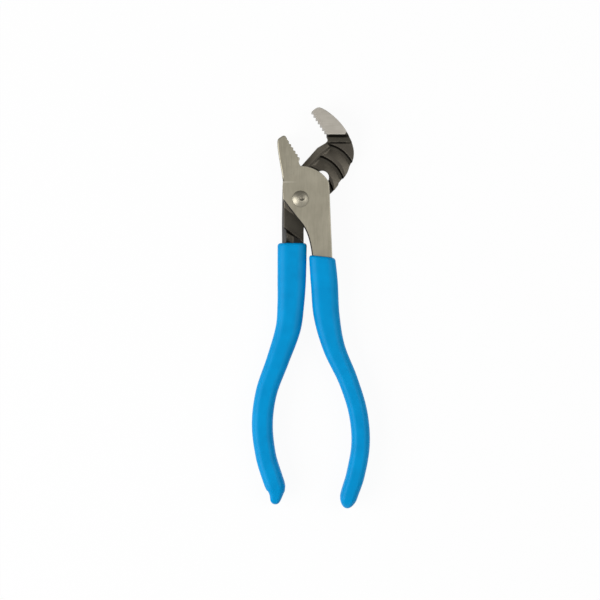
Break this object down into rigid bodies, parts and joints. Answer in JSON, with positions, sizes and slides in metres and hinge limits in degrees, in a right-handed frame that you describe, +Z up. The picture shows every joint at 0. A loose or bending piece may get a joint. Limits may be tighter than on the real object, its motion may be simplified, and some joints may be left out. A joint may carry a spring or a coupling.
{
  "type": "water pump pliers",
  "caption": "Adjustable tongue and groove water pump pliers with angled toothed jaws, a slotted sliding pivot and dip-coated handles.",
  "frame": {"origin": "on the pivot bolt's axis, level with the flat back of the bolt head and of the rear half, which lie on the bench", "axes": "+Y along the tool toward the jaws, +Z up the pivot bolt out of the polished face, +X to the right as seen from the polished face"},
  "size_m": [0.0337, 0.1141, 0.0082],
  "materials": {
    "ground_steel": "ground and polished forged steel",
    "black_oxide_steel": "black oxide forged steel with a ground jaw face",
    "bolt_steel": "plain steel",
    "nut_steel": "polished steel",
    "dipped_vinyl": "glossy dipped vinyl"
  },
  "bodies": {
    "front_lever": {"front_half": "ground_steel", "front_grip": "dipped_vinyl"},
    "pivot": {"pivot_bolt": "bolt_steel", "pivot_nut": "nut_steel"},
    "rear_lever": {"rear_half": "black_oxide_steel", "rear_grip": "dipped_vinyl"}
  },
  "joints": [
    {"name": "jaw_hinge", "type": "hinge", "parent": "front_lever", "child": "pivot", "pos_m": [0, 0, 0], "axis": [0, 0, -1], "range_deg": [-2, 65]},
    {"name": "setting_slide", "type": "slide", "parent": "pivot", "child": "rear_lever", "axis": [0.6972, 0.7169, 0], "range_m": [-0.0088, 0]}
  ]
}
